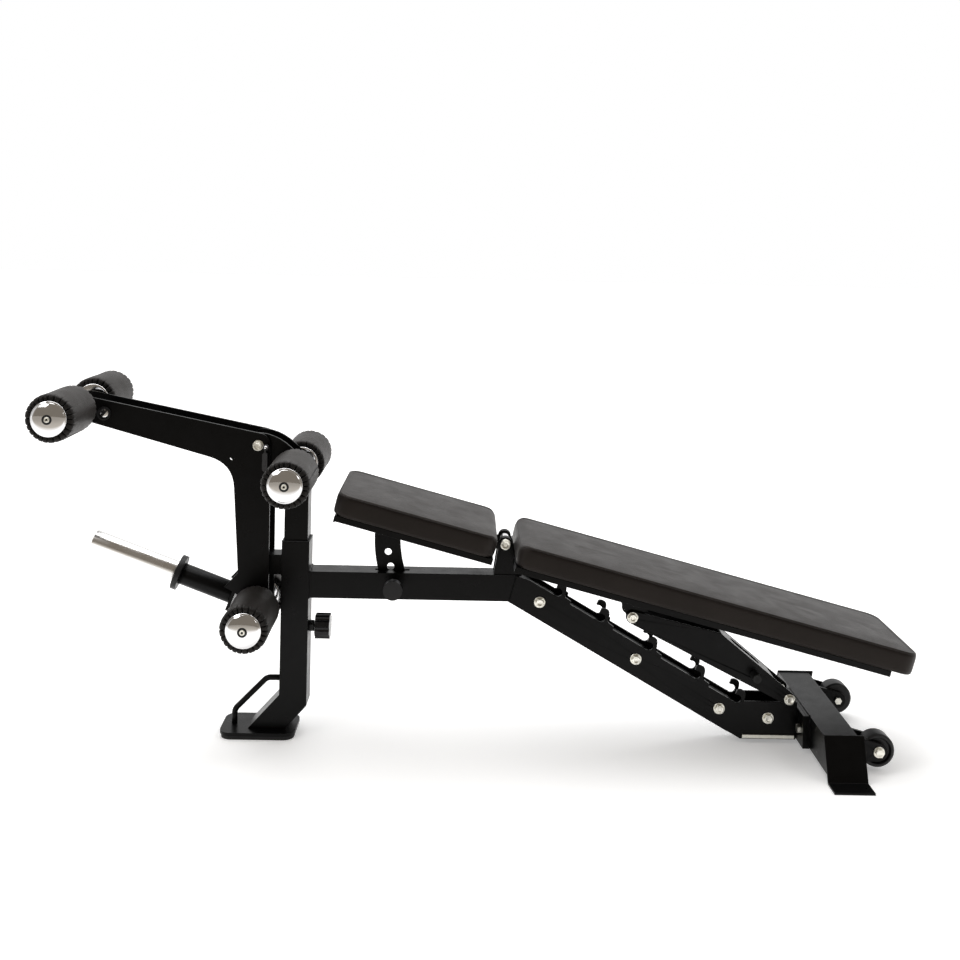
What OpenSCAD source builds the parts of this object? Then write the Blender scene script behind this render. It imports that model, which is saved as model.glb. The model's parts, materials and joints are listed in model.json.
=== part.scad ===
// Adjustable decline bench with a leg developer.
// Millimetres. +X runs from the leg developer to the rear foot, +Z is up,
// the floor is Z = 0 and the near side is -Y. Points in the XZ plane are [x, z].

/* [Front post] */
// Outer width of the square receiver post
post_w = 65; // [60:1:70]
// Wall thickness of the post, the beams and the crossbar
wall = 3; // [2:0.5:4]
// Height of the receiver's open top
post_top = 463; // [440:1:480]
// Angle of the kicked foot of the post from vertical
kick = 42; // [38:1:46]

/* [Leg developer] */
// Outer width of the inner upright
upright_w = 56; // [54:1:56]
// Height of the inner upright's top
upright_top = 664; // [655:1:680]
// Outer face of the lever plates, from the centre plane
lever_y = 43; // [42:0.5:44]
// Radius of the weight sleeve
sleeve_r = 24; // [20:0.5:25]
// Length of the weight sleeve
sleeve_len = 212; // [150:1:260]
// Tilt of the weight sleeve above horizontal
sleeve_tilt = 20.2; // [18:0.1:22]

/* [Rollers] */
// Radius of the foam rollers
roller_r = 54.5; // [45:0.5:56]
// Length of each foam roller
roller_len = 165; // [140:1:180]
// Radius of the roller bars
bar_r = 12.5; // [11:0.5:14]
// Radius of the chrome end caps
cap_r = 40; // [34:1:44]

/* [Frame] */
// Height of the main and rear beam section
beam_h = 63; // [60:1:66]
// Half the width of the beams
beam_y = 30; // [28:1:30]
// Underside of the level part of the main beam
beam_z = 330; // [326:1:334]
// Fall of the rear beam below horizontal
fall = 29.7; // [29:0.1:30.5]
// Thickness of the ladder, bracket and lever plates
plate = 6; // [5:0.5:6]
// Half the length of the rear crossbar along its top
crossbar_y = 194; // [180:1:200]

/* [Pads] */
// Half the width of the seat and back pads
pad_y = 150; // [140:1:150]
// Tilt of the seat, front edge up
seat_tilt = 14.6; // [14:0.1:15]
// Tilt of the back, rear edge down
back_tilt = 14.5; // [14:0.1:15]

/* [Hidden] */
$fn = 64;
eps = 0.01;
run = 0.06;
fit_gap = 0.02;

// Pivots, as [x, z]
pad_pivot = [59, 471];
strut_pivot = [364, 302];
strut_foot = [742, 113];
lever_pivot = [-528, 693];
top_axis = [-953.3, 776];
mid_axis = [-438, 635];
low_axis = [-524, 311];
wheel_axis = [909.5, 49];

// Front post
post_x0 = -470;
post_x1 = post_x0 + post_w;
plate_top = 17;
pad_h = 9;
bend_z = 98;
function bend_at(x) = bend_z - (x - post_x0) * tan(kick / 2);
function foot_at(x) = x - (bend_at(x) - plate_top) * tan(kick);

// Beams: both run through two mitres
mitre_a = [71, beam_z];
lower_z = 12;
mitre_shift = beam_h * tan(fall / 2);
mitre_b = [mitre_a[0] + (beam_z - lower_z) / tan(fall), lower_z];
flange_x = 762;
flange_t = 8;
function mitre(p, i) = [p[0] + mitre_shift * i / beam_h, p[1] + i];

// Ladder: u runs down the slope from the first mitre, v is square to it
ladder_top = 70;
notch_v = 80;
notch_u = [88, 207, 340, 472.5, 585];
notch_r = 10;
ladder_bolt_at = [[143.5, 332], [375, 200.5], [576, 86], [693, 65]];
ladder_end_z = 104;

// Rear foot
bar_x0 = flange_x + 2 * flange_t;
bar_x1 = 855;
bar_z0 = 17;
bar_z1 = 92;
foot_x0 = 777;
foot_x1 = 867;
foot_top = 94.5;
foot_slope = 0.4267;
lip_y = 284;
lip_t = 5;
function foot_y(z) = crossbar_y + (foot_top - z) * foot_slope;

// Lever
sleeve_root = [-724, 379];
sleeve_dir = [-cos(sleeve_tilt), sin(sleeve_tilt)];
collar_t = 13;
cross_t = 8;
tube_len = 130;

// Seat and back, measured in their own tilted frames about the pad pivot
ear_r = 15.5;
arc_r = 281;
arc_half_w = 31;
arc_holes = [7.1, 14.3, 21.5];
pop_at = pad_pivot - arc_r * [cos(21.5), sin(21.5)];

black = [0.07, 0.07, 0.075];
vinyl = [0.16, 0.155, 0.15];
chrome = [0.82, 0.82, 0.84];
zinc = [0.72, 0.7, 0.64];
plastic = [0.05, 0.05, 0.05];

// Extrudes an XZ outline from Y = y0 to Y = y1
module slab(y0, y1) translate([0, y1, 0]) rotate([90, 0, 0]) linear_extrude(y1 - y0) children();

// The same outline on the near and on the far side
module pair(y0, y1) {
    slab(y0, y1) children();
    slab(-y1, -y0) children();
}

// Cylinder along Y through the XZ point p
module pin(p, r, y0, y1, sides = 64)
    translate([p[0], y1, p[1]]) rotate([90, 0, 0]) cylinder(r = r, h = y1 - y0, $fn = sides);

// The same cylinder on the near and on the far side
module pins(p, r, y0, y1, sides = 64) {
    pin(p, r, y0, y1, sides);
    pin(p, r, -y1, -y0, sides);
}

// Round bar between two XZ points, in the plane Y = 0
module rod(a, b, r) {
    d = b - a;
    translate([a[0], 0, a[1]]) rotate([0, atan2(d[0], d[1]), 0]) cylinder(r = r, h = norm(d));
}

// Disc at an XZ point in an XZ outline
module dot(p, r) translate(p) circle(r);

// Rectangle with round corners
module round_rect(x0, x1, y0, y1, r) {
    translate([x0 + r, y0]) square([x1 - x0 - 2 * r, y1 - y0]);
    translate([x0, y0 + r]) square([x1 - x0, y1 - y0 - 2 * r]);
    for (x = [x0 + r, x1 - r], y = [y0 + r, y1 - r]) translate([x, y]) circle(r);
}

// Points of a quadratic curve from a to c that leans towards b
function curve(a, b, c, n = 8) =
    [for (i = [0:n]) let (t = i / n) (1 - t) * (1 - t) * a + 2 * t * (1 - t) * b + t * t * c];

// Frame of a tilted pad: x runs rearwards along it, z is square to it
module tilted(a) translate([pad_pivot[0], 0, pad_pivot[1]]) rotate([0, a, 0]) children();

// ---------- Front post ----------

module base_plate() color(black)
    translate([0, 0, pad_h]) linear_extrude(plate_top - pad_h) round_rect(-608, -429, -60, 60, 28);

module base_foot_pad() color(plastic)
    linear_extrude(pad_h) round_rect(-605, -432, -57, 57, 25);

module post_outline(i, over = 0) polygon([
    [post_x0 + i, post_top + over], [post_x1 - i, post_top + over],
    [post_x1 - i, bend_at(post_x1 - i)], [foot_at(post_x1 - i), plate_top],
    [foot_at(post_x0 + i), plate_top], [post_x0 + i, bend_at(post_x0 + i)]]);

knob_z = 254.5;
stud_r = 5;
module front_post() color(black) difference() {
    slab(-post_w / 2, post_w / 2) post_outline(0);
    slab(-post_w / 2 + wall, post_w / 2 - wall) post_outline(wall, 1);
    translate([post_x1 - 10, 0, knob_z]) rotate([0, 90, 0]) cylinder(r = stud_r + run, h = 20);
}

post_mid = (post_x0 + post_x1) / 2;
bore_w = post_w - 2 * wall;
module receiver_liner() color(plastic) difference() {
    union() {
        translate([post_mid - bore_w / 2, -bore_w / 2, 400]) cube([bore_w, bore_w, post_top - 400]);
        translate([post_mid - 33, -33, post_top]) cube([66, 66, 3]);
    }
    translate([post_mid - 28.25, -28.25, 399]) cube([56.5, 56.5, 80]);
}

handle_r = 6.8;
handle_path = [[-580, plate_top], [-580, 50], [-504, 128], [post_x0, 128]];
bend_r = 22;
handle_rise = atan2(handle_path[2][1] - handle_path[1][1], handle_path[2][0] - handle_path[1][0]);
// length that each bend takes from the legs beside it
bend_a = bend_r * tan((90 - handle_rise) / 2);
bend_b = bend_r * tan(handle_rise / 2);
slope_dir = [cos(handle_rise), sin(handle_rise)];
module elbow(centre, start, turn) translate([centre[0], 0, centre[1]]) rotate([90, 0, 0])
    rotate([0, 0, start]) rotate_extrude(angle = turn) translate([bend_r, 0]) circle(handle_r);
module lift_handle() color(black) {
    rod(handle_path[0], handle_path[1] - [0, bend_a], handle_r);
    elbow(handle_path[1] + [bend_r, -bend_a], 180 - (90 - handle_rise), 90 - handle_rise);
    rod(handle_path[1] + bend_a * slope_dir, handle_path[2] - bend_b * slope_dir, handle_r);
    elbow(handle_path[2] + [bend_b, -bend_r], 90, handle_rise);
    rod(handle_path[2] + [bend_b, 0], handle_path[3], handle_r);
}

module knob_nut() color(plastic) translate([post_x1, 0, knob_z]) rotate([0, 90, 0]) difference() {
    cylinder(r = 14, h = 12, $fn = 6);
    translate([0, 0, -1]) cylinder(r = stud_r + run, h = 14);
}

stub_x0 = -512;
stub_z0 = 383;
stub_z1 = 430;
module stop_stub() color(black) difference() {
    translate([stub_x0, -25, stub_z0]) cube([post_x0 - stub_x0, 50, stub_z1 - stub_z0]);
    translate([stub_x0 + wall, -25 + wall, stub_z0 + wall])
        cube([80, 50 - 2 * wall, stub_z1 - stub_z0 - 2 * wall]);
}

bumper_t = 4;
module stop_bumper() color(plastic)
    translate([stub_x0 - bumper_t, -18, stub_z0 + 6]) cube([bumper_t, 36, 35]);

// ---------- Beams and ladder ----------

module main_outline(i, over = 0) polygon([
    [post_x1 - over, beam_z + i], mitre(mitre_a, i), mitre(mitre_a, beam_h - i),
    [post_x1 - over, beam_z + beam_h - i]]);

module main_beam() color(black) difference() {
    slab(-beam_y, beam_y) main_outline(0);
    slab(-beam_y + wall, beam_y - wall) main_outline(wall, 1);
    // slots that the seat's arc passes through
    translate([-250, -6, beam_z + beam_h - 10]) cube([82, 12, 20]);
    translate([-230, -6, beam_z - 10]) cube([92, 12, 20]);
    // hole for the pop-pin's barrel
    pin(pop_at, 9.1, -beam_y - 1, -beam_y + wall + 1);
}

module rear_outline(i, over = 0) polygon([
    mitre(mitre_a, i), mitre(mitre_b, i), [flange_x + over, lower_z + i],
    [flange_x + over, lower_z + beam_h - i], mitre(mitre_b, beam_h - i), mitre(mitre_a, beam_h - i)]);

bolt_r = 6;
bolt_hole_r = 6.2;
module rear_beam() color(black) difference() {
    slab(-beam_y, beam_y) rear_outline(0);
    slab(-beam_y + wall, beam_y - wall) rear_outline(wall, 1);
    for (p = ladder_bolt_at) pin(p, bolt_hole_r, -60, 60);
}

function on_ladder(u, v) = mitre_a + [u * cos(fall) + v * sin(fall), v * cos(fall) - u * sin(fall)];

ladder_lower_end = on_ladder(605, 0)[0];
ladder_z0 = 31;
// where the sloping top edge meets the level one
ladder_bend = (mitre_a[1] + ladder_top * cos(fall) - ladder_end_z) / sin(fall);
module ladder_outline() polygon([mitre_a, [ladder_lower_end, ladder_z0], [flange_x, ladder_z0],
    [flange_x, ladder_end_z], on_ladder(ladder_bend, ladder_top),
    on_ladder(mitre_shift, ladder_top), mitre(mitre_a, beam_h)]);

module notches() for (u = notch_u) dot(on_ladder(u, notch_v), notch_r);

ladder_y = beam_y + plate;
module ladder_plates() color(black) pair(beam_y, ladder_y) difference() {
    ladder_outline();
    dot(on_ladder(notch_u[4], notch_v), notch_r);
    for (p = ladder_bolt_at) dot(p, bolt_hole_r);
}

// One claw, drawn about the centre of its notch in the ladder's own slope
module claw() polygon(concat([[2.5, -12], [2.5, 8.2], [-9.5, 8.2]], curve([-10.5, 19], [-5, 25], [3, 24.5]),
    curve([6, 24.5], [14, 22], [17, 2]), [[22, -1.5], [37, -3], [39, -12]]));

// Claws welded along the top edge of both plates
module ladder_claws() color(black) pair(beam_y, ladder_y) difference() {
    for (u = notch_u) translate(on_ladder(u, notch_v)) rotate(-fall) claw();
    translate(fit_gap * [sin(fall), cos(fall)]) ladder_outline();
    notches();
}

head_t = 7;
pivot_y = 44;
module frame_bolts() color(zinc) {
    for (p = ladder_bolt_at) {
        pin(p, bolt_r, -ladder_y - eps, ladder_y + eps);
        pins(p, 11.5, ladder_y, ladder_y + head_t, 6);
    }
    // long bolt through the pivot tube
    pin(pad_pivot, 8, -pivot_y - eps, pivot_y + eps);
    pins(pad_pivot, 12, pivot_y, pivot_y + head_t);
}

module pivot_bracket() color(black) pair(beam_y - plate, beam_y) difference() {
    union() {
        polygon([[33, beam_z + beam_h], [101, beam_z + beam_h],
            pad_pivot + [15, 3], pad_pivot - [15, -3]]);
        dot(pad_pivot, ear_r);
    }
    dot(pad_pivot, bar_r);
}

module pivot_tube() color(chrome) difference() {
    pin(pad_pivot, bar_r, -pivot_y, pivot_y);
    pin(pad_pivot, 8.1, -60, 60);
}

barrel_y = 60;
pop_r = 7.3;
module pop_pin_barrel() color(plastic) difference() {
    union() {
        pin(pop_at, 12, -barrel_y, -beam_y);
        pin(pop_at, 9, -beam_y - eps, -beam_y + wall);
    }
    pin(pop_at, pop_r + run, -barrel_y - 1, 0);
}

// ---------- Rear foot ----------

// Flange of the beam and flange of the foot, bolted face to face
module flange(x, t) translate([x, 0, 0]) rotate([90, 0, 90]) linear_extrude(t) difference() {
    translate([-88, 15]) square([176, 77]);
    for (y = [-65, 65]) translate([y, 54]) circle(bolt_hole_r);
}

module rear_flanges() color(black) {
    flange(flange_x, flange_t - 0.1);
    flange(flange_x + flange_t, flange_t);
}

module crossbar_outline(i) polygon([
    [-foot_y(bar_z0 + i), bar_z0 + i], [foot_y(bar_z0 + i), bar_z0 + i],
    [foot_y(bar_z1 - i), bar_z1 - i], [-foot_y(bar_z1 - i), bar_z1 - i]]);

module rear_crossbar() color(black) difference() {
    translate([bar_x0, 0, 0]) rotate([90, 0, 90]) linear_extrude(bar_x1 - bar_x0) crossbar_outline(0);
    translate([bar_x0 + wall, 0, 0]) rotate([90, 0, 90])
        linear_extrude(bar_x1 - bar_x0 - 2 * wall) crossbar_outline(wall);
}

foot_wall = 5.4;
module foot_outline() polygon([
    [foot_y(foot_top), foot_top], [foot_y(foot_top) + foot_wall, foot_top],
    [foot_y(lip_t) + foot_wall, lip_t], [lip_y, lip_t], [lip_y, 0], [foot_y(0), 0]]);

module foot_plates() color(black) for (s = [-1, 1]) scale([1, s, 1])
    translate([foot_x0, 0, 0]) rotate([90, 0, 90]) linear_extrude(foot_x1 - foot_x0) foot_outline();

wheel_y0 = 133;
wheel_y1 = 171;
wheel_r = 38.3;
bracket_y = 122;
fork_y = wheel_y1 + 2;
module wheel_brackets() color(black) {
    pair(bracket_y, bracket_y + 8) bracket_outline();
    pair(fork_y, fork_y + 5) bracket_outline();
}

module bracket_outline() difference() {
    union() {
        polygon([[bar_x1, 24], [wheel_axis[0], wheel_axis[1] - 20], [wheel_axis[0], wheel_axis[1] + 20],
            [bar_x1, 84]]);
        dot(wheel_axis, 20);
    }
    dot(wheel_axis, 5.2);
}

module rear_bolts() color(zinc) {
    for (y = [-65, 65]) translate([flange_x, y, 54]) rotate([0, 90, 0]) {
        translate([0, 0, -8]) cylinder(r = 11, h = 8, $fn = 6);
        translate([0, 0, -eps]) cylinder(r = bolt_r, h = 2 * flange_t);
    }
    pins(wheel_axis, 5, bracket_y - eps, fork_y + 6);
    pins(wheel_axis, 9, bracket_y - 7, bracket_y, 6);
    pins(wheel_axis, 11, fork_y + 5, fork_y + 12, 6);
}

module wheel(s) color(plastic) scale([1, s, 1]) translate([wheel_axis[0], wheel_y0, wheel_axis[1]])
    rotate([-90, 0, 0]) rotate_extrude() polygon([
        [5 + run, 0], [wheel_r - 4, 0], [wheel_r, 3], [wheel_r, 35], [wheel_r - 4, 38], [30, 38],
        [28, 31], [14, 31], [12, 38], [5 + run, 38]]);
module wheel_near() wheel(-1);
module wheel_far() wheel(1);

// ---------- Upright and head ----------

upright_z0 = 112;
module upright_tube() color(black) difference() {
    translate([post_mid - upright_w / 2, -upright_w / 2, upright_z0])
        cube([upright_w, upright_w, upright_top - upright_z0]);
    translate([post_mid - upright_w / 2 + wall, -upright_w / 2 + wall, upright_z0 - 1])
        cube([upright_w - 2 * wall, upright_w - 2 * wall, upright_top - upright_z0 - wall]);
    pin(mid_axis, bar_r + run, -60, 60);
}

head_y = upright_w / 2 + plate;
module head_plates() color(black) pair(upright_w / 2, head_y) difference() {
    union() {
        polygon(concat(curve(lever_pivot + [5, 28], [-462, 716], [-410, 640]),
            [[-410, 600], [-466, 592], lever_pivot - [20, 20]]));
        dot(lever_pivot, 28);
    }
    dot(lever_pivot, 8 + run);
    dot(mid_axis, bar_r + run);
}

lever_in = lever_y - plate;
module lever_pivot_bolt() color(zinc) {
    pin(lever_pivot, 8, -lever_y - 3, lever_y + 3);
    pins(lever_pivot, 16, head_y + 0.2, lever_in - 0.2);
    pins(lever_pivot, 12.5, lever_y + 0.3, lever_y + 3);
    pins(lever_pivot, 10.8, lever_y + 3 - eps, lever_y + 11);
}

mid_inner = 50;
top_inner = 70;
module roller_bar(p, inner) pin(p, bar_r, -inner - roller_len + 4, inner + roller_len - 4);
module mid_roller_bar() color(chrome) roller_bar(mid_axis, mid_inner);
module upper_roller_bar() color(chrome) roller_bar(top_axis, top_inner);
module lower_roller_bar() color(chrome) roller_bar(low_axis, mid_inner);

// ---------- Lever ----------

lock_at = [-508, 691];
socket_at = [-891, 761];
sight_hole = [-590, 661];
module lever_outline() difference() {
    union() {
        polygon(concat([top_axis + [5.3, 27.5], lever_pivot + [5.4, 28], lever_pivot + [28.5, -2],
            low_axis + [26, 0], low_axis - [10, 24], [-575, 342], [-603, 356], [-571, 390], [-572, 408]],
            curve([-583.5, 592], [-587, 648], [-642, 663.4]), [top_axis - [7.3, 26]]));
        dot(top_axis, 27);
        dot(lever_pivot, 28.5);
        dot(low_axis, 26);
    }
    dot(top_axis, bar_r + run);
    dot(low_axis, bar_r + run);
    dot(lever_pivot, 8 + run);
    dot(socket_at, 16);
    dot(sight_hole, 5);
    dot(lock_at, 4 + run);
}

module lever_plates() color(black) pair(lever_in, lever_y) lever_outline();

module lever_spacers() color(black) {
    // web that lands on the stop
    translate([stub_x0 - bumper_t - 8.2, -lever_in, 378]) cube([8, 2 * lever_in, 57]);
    // cross plate that carries the sleeve's tube
    translate([sleeve_root[0], 0, sleeve_root[1]]) rotate([0, 180 + sleeve_tilt, 0])
        translate([-collar_t - tube_len - cross_t, -lever_in, -32])
            cube([cross_t, 2 * lever_in, 64]);
}

module bar_socket() color(plastic) difference() {
    pin(socket_at, 16, -lever_y - 5, lever_y + 5);
    pins(socket_at, 12, lever_y - 6, lever_y + 6);
}

// Frame of the weight sleeve: x runs outwards along it from the collar's face
module on_sleeve() translate([sleeve_root[0], 0, sleeve_root[1]]) rotate([0, sleeve_tilt - 90, 0])
    children();

chamfer = 1.5;
module weight_sleeve() color(chrome) on_sleeve() difference() {
    union() {
        cylinder(r = sleeve_r, h = sleeve_len - chamfer);
        translate([0, 0, sleeve_len - chamfer - eps])
            cylinder(r1 = sleeve_r, r2 = sleeve_r - chamfer, h = chamfer + eps);
    }
    translate([0, 0, -1]) cylinder(r = sleeve_r - wall, h = sleeve_len - 4);
}

module sleeve_collar() color(plastic) on_sleeve() translate([0, 0, -collar_t])
    cylinder(r = 41, h = collar_t);

module sleeve_tube() color(black) on_sleeve() translate([0, 0, -collar_t - tube_len]) difference() {
    cylinder(r = 25, h = tube_len);
    translate([0, 0, -1]) cylinder(r = 25 - wall, h = tube_len + 2);
}

module lock_pin() color(chrome) {
    pin(lock_at, 4, -lever_y - 10, -lever_in);
    pin(lock_at, 6.5, -lever_y - 16, -lever_y - 10 + eps);
    slab(-lever_y - 14.5, -lever_y - 8.5) round_rect(-516, -504, 634, 678, 5.5);
    slab(-lever_y - 13, -lever_y - 10) round_rect(-512, -508, 670, 690, 1.5);
}

// ---------- Rollers ----------

// Foam roller on its core, from the inner end y0 outwards
module foam(p, inner, s) color(vinyl) scale([1, s, 1]) translate([p[0], inner, p[1]])
    rotate([-90, 0, 0]) rotate_extrude() polygon([
        [bar_r + run, 0], [roller_r - 10, 0], [roller_r - 3, 3], [roller_r, 10],
        [roller_r, roller_len - 10], [roller_r - 3, roller_len - 3], [roller_r - 10, roller_len],
        [bar_r + run, roller_len]]);

// Ring on the inner end and dome on the outer end of a roller
dome_h = 14;
module caps(p, inner, s) color(chrome) scale([1, s, 1]) translate([p[0], inner, p[1]])
    rotate([-90, 0, 0]) {
        translate([0, 0, -4]) rotate_extrude()
            polygon([[bar_r + 1, 0], [cap_r - 4, 0], [cap_r, 4], [bar_r + 1, 4]]);
        translate([0, 0, roller_len]) rotate_extrude() polygon(concat([[0, 0], [cap_r, 0]],
            curve([cap_r, 2], [cap_r - 12, dome_h], [0, dome_h], 10)));
    }

module roller_top_near_foam() foam(top_axis, top_inner, -1);
module roller_top_near_caps() caps(top_axis, top_inner, -1);
module roller_top_far_foam() foam(top_axis, top_inner, 1);
module roller_top_far_caps() caps(top_axis, top_inner, 1);
module roller_mid_near_foam() foam(mid_axis, mid_inner, -1);
module roller_mid_near_caps() caps(mid_axis, mid_inner, -1);
module roller_mid_far_foam() foam(mid_axis, mid_inner, 1);
module roller_mid_far_caps() caps(mid_axis, mid_inner, 1);
module roller_low_near_foam() foam(low_axis, mid_inner, -1);
module roller_low_near_caps() caps(low_axis, mid_inner, -1);
module roller_low_far_foam() foam(low_axis, mid_inner, 1);
module roller_low_far_caps() caps(low_axis, mid_inner, 1);

// ---------- Seat and back ----------

// Cushion in a pad's own frame, resting on its tray, with round corners in plan and in profile
corner_r = 38;
edge_r = 20;
cushion_gap = 0.1;
module cushion(x0, x1, z0, z1) intersection() {
    translate([0, 0, z0 - 1]) linear_extrude(z1 - z0 + 2) round_rect(x0, x1, -pad_y, pad_y, corner_r);
    slab(-pad_y - 1, pad_y + 1) round_rect(x0, x1, z0 + cushion_gap, z1, edge_r);
}

// Folded tray, open below, in a pad's own frame
tray_y = 142;
module tray(x0, x1, z0, z1) difference() {
    translate([x0, -tray_y, z0]) cube([x1 - x0, 2 * tray_y, z1 - z0]);
    translate([x0 + wall, -tray_y + wall, z0 - 1])
        cube([x1 - x0 - 2 * wall, 2 * tray_y - 2 * wall, z1 - z0 + 1 - wall]);
}

tray_gap = 48;
tray_end = 27;
// Folded tray with its end open round the pivot bracket; s is 1 for the back and -1 for the seat
bay = 46;
module open_tray(s, x0, x1, z0, z1) difference() {
    tray(x0, x1, z0, z1);
    translate([s > 0 ? 0 : -tray_gap, -bay, z0 - 2]) cube([tray_gap, 2 * bay, z1 - z0 + 4]);
}

// Ear from a tray down to the pad pivot; s is 1 for the back and -1 for the seat
module ear_outline(s, z_low, z_top) difference() {
    union() {
        polygon([[s * 13.5, 3.7], [s * 31, z_top], [s * 110, z_top], [s * 110, z_low], [s * 60, z_low],
            [s * 2.4, -13.8], [s * 8.5, -11.2], [s * 12, -7.5]]);
        circle(ear_r);
    }
    circle(bar_r + run);
}

arc_hole_r = 8.5;
seat_x0 = -410;
seat_tray_x0 = -398;
seat_low = -18;
seat_high = 33;
seat_tray_low = -32;
module seat_frame() color(black) tilted(seat_tilt) {
    open_tray(-1, seat_tray_x0, -tray_end, seat_tray_low, seat_low);
    pair(31, 36) ear_outline(-1, seat_tray_low, seat_low - wall);
    // lip across the front edge
    translate([seat_tray_x0 - 4, -tray_y, seat_tray_low - 2]) cube([4, 2 * tray_y, 15]);
}

module seat_arc() color(black) difference() {
    intersection() {
        slab(-4, 4) difference() {
            dot(pad_pivot, arc_r + arc_half_w);
            dot(pad_pivot, arc_r - arc_half_w);
            for (a = arc_holes) dot(pad_pivot - arc_r * [cos(a), sin(a)], arc_hole_r);
        }
        slab(-5, 5) polygon([pad_pivot, pad_pivot - 400 * [cos(26.5), sin(26.5)],
            pad_pivot - 400 * [1, 0], pad_pivot - 400 * [cos(-20), sin(-20)]]);
        tilted(seat_tilt) translate([-400, -10, -400])
            cube([400, 20, 400 + seat_low - wall - 0.05]);
    }
}

module seat_pad() color(vinyl) tilted(seat_tilt) cushion(seat_x0, -25, seat_low, seat_high);

back_low = -20;
back_high = 33;
back_tray_low = -34;
back_x1 = 976.2;
tray_x1 = 922;
module back_frame() color(black) tilted(back_tilt) {
    open_tray(1, tray_end, tray_x1, back_tray_low, back_low);
    pair(37, 42) ear_outline(1, back_tray_low, back_low - wall);
}

spine_low = -60;
spine_y = 36;
spine_t = 5;
strut_s = [337.5, -87.2];
module back_spine() color(black) tilted(back_tilt) {
    pair(spine_y - spine_t, spine_y) difference() {
        union() {
            polygon([[304, spine_low], [304, back_tray_low], [544, back_tray_low], [530, spine_low],
                [372, spine_low], strut_s + [15, 0], strut_s - [15, 0]]);
            dot(strut_s, 15);
        }
        dot(strut_s, bolt_hole_r);
    }
    translate([385, -spine_y + spine_t, spine_low]) cube([145, 2 * (spine_y - spine_t), 4]);
}

module back_pad() color(vinyl) tilted(back_tilt) cushion(25, back_x1, back_low, back_high);

// ---------- Strut ----------

strut_in = 38.5;
strut_out = 43.5;
strut_r = 15;
strut_peak = [574, 268];
strut_low_n = [-0.457, -0.889];
strut_top_n = [0.637, 0.771];
function along(a, b, t) = a + (b - a) * t;
module strut_outline() difference() {
    union() {
        polygon([strut_pivot + strut_r * strut_low_n, strut_foot + strut_r * strut_low_n,
            strut_foot + strut_r * strut_top_n, strut_peak,
            strut_pivot + strut_r * [sin(back_tilt), cos(back_tilt)]]);
        dot(strut_pivot, strut_r);
        dot(strut_foot, strut_r);
    }
    dot(strut_pivot, bolt_r + run);
}

web_t = 4;
web_end = 0.74;
strut_edge = strut_foot + strut_r * strut_top_n;
web_a = along(strut_peak, strut_edge, 0.03);
web_b = along(strut_peak, strut_edge, web_end);
web_len = norm(web_b - web_a);
web_angle = atan2(web_a[1] - web_b[1], web_b[0] - web_a[0]);
grip_at = [656, 171];
module strut() color(black) {
    pair(strut_in, strut_out) difference() {
        strut_outline();
        dot(strut_foot, 8 + run);
        dot(grip_at, 10 + run);
    }
    translate([web_a[0], 0, web_a[1]]) rotate([0, web_angle, 0]) translate([0, 0, -web_t - 0.5])
        linear_extrude(web_t) difference() {
            translate([0, -strut_in]) square([web_len, 2 * strut_in]);
            translate([web_len / 2, 0]) round_rect(-45, 45, -17, 17, 16.9);
        }
}

module strut_pins() color(zinc) {
    pin(strut_foot, 8, -strut_out - eps, strut_out + eps);
    pins(strut_foot, 11.5, strut_out, strut_out + head_t, 6);
}

module strut_grip() color(plastic) {
    pin(grip_at, 10, -74, 74);
}

module strut_bolt() color(zinc) {
    pin(strut_pivot, bolt_r, -strut_out - 1, strut_out + 1);
    pins(strut_pivot, 11, strut_out + 0.5, strut_out + head_t, 6);
}

// ---------- Adjusters ----------

knob_x = -390;
module star_knob() {
    color(plastic) translate([knob_x, 0, knob_z]) rotate([0, 90, 0]) linear_extrude(35) difference() {
        circle(30);
        for (a = [0:45:315]) rotate(a) translate([33, 0]) circle(7);
    }
    color(zinc) translate([knob_x - 19.2, 0, knob_z]) rotate([0, 90, 0]) cylinder(r = stud_r, h = 20);
}

module pop_pin() {
    color(zinc) pin(pop_at, pop_r, -75, -4.6);
    color(plastic) pin(pop_at, 15, -70, -63);
    color(plastic) pin(pop_at, 22.5, -90, -70 + eps);
}

base_plate();
base_foot_pad();
front_post();
receiver_liner();
lift_handle();
knob_nut();
stop_stub();
stop_bumper();
main_beam();
rear_beam();
ladder_plates();
ladder_claws();
frame_bolts();
pivot_bracket();
pivot_tube();
pop_pin_barrel();
rear_flanges();
rear_crossbar();
foot_plates();
wheel_brackets();
rear_bolts();
upright_tube();
head_plates();
lever_pivot_bolt();
mid_roller_bar();
lever_plates();
lever_spacers();
upper_roller_bar();
lower_roller_bar();
bar_socket();
weight_sleeve();
sleeve_collar();
sleeve_tube();
lock_pin();
roller_top_near_foam();
roller_top_near_caps();
roller_top_far_foam();
roller_top_far_caps();
roller_mid_near_foam();
roller_mid_near_caps();
roller_mid_far_foam();
roller_mid_far_caps();
roller_low_near_foam();
roller_low_near_caps();
roller_low_far_foam();
roller_low_far_caps();
wheel_near();
wheel_far();
seat_frame();
seat_arc();
seat_pad();
back_frame();
back_spine();
back_pad();
strut_bolt();
strut();
strut_pins();
strut_grip();
star_knob();
pop_pin();
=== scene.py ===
"""Adjustable decline bench with a leg developer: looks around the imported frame. Metres, +Z up."""
import json
import math

import bmesh
import bpy
from mathutils import Matrix, Vector, noise


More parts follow.
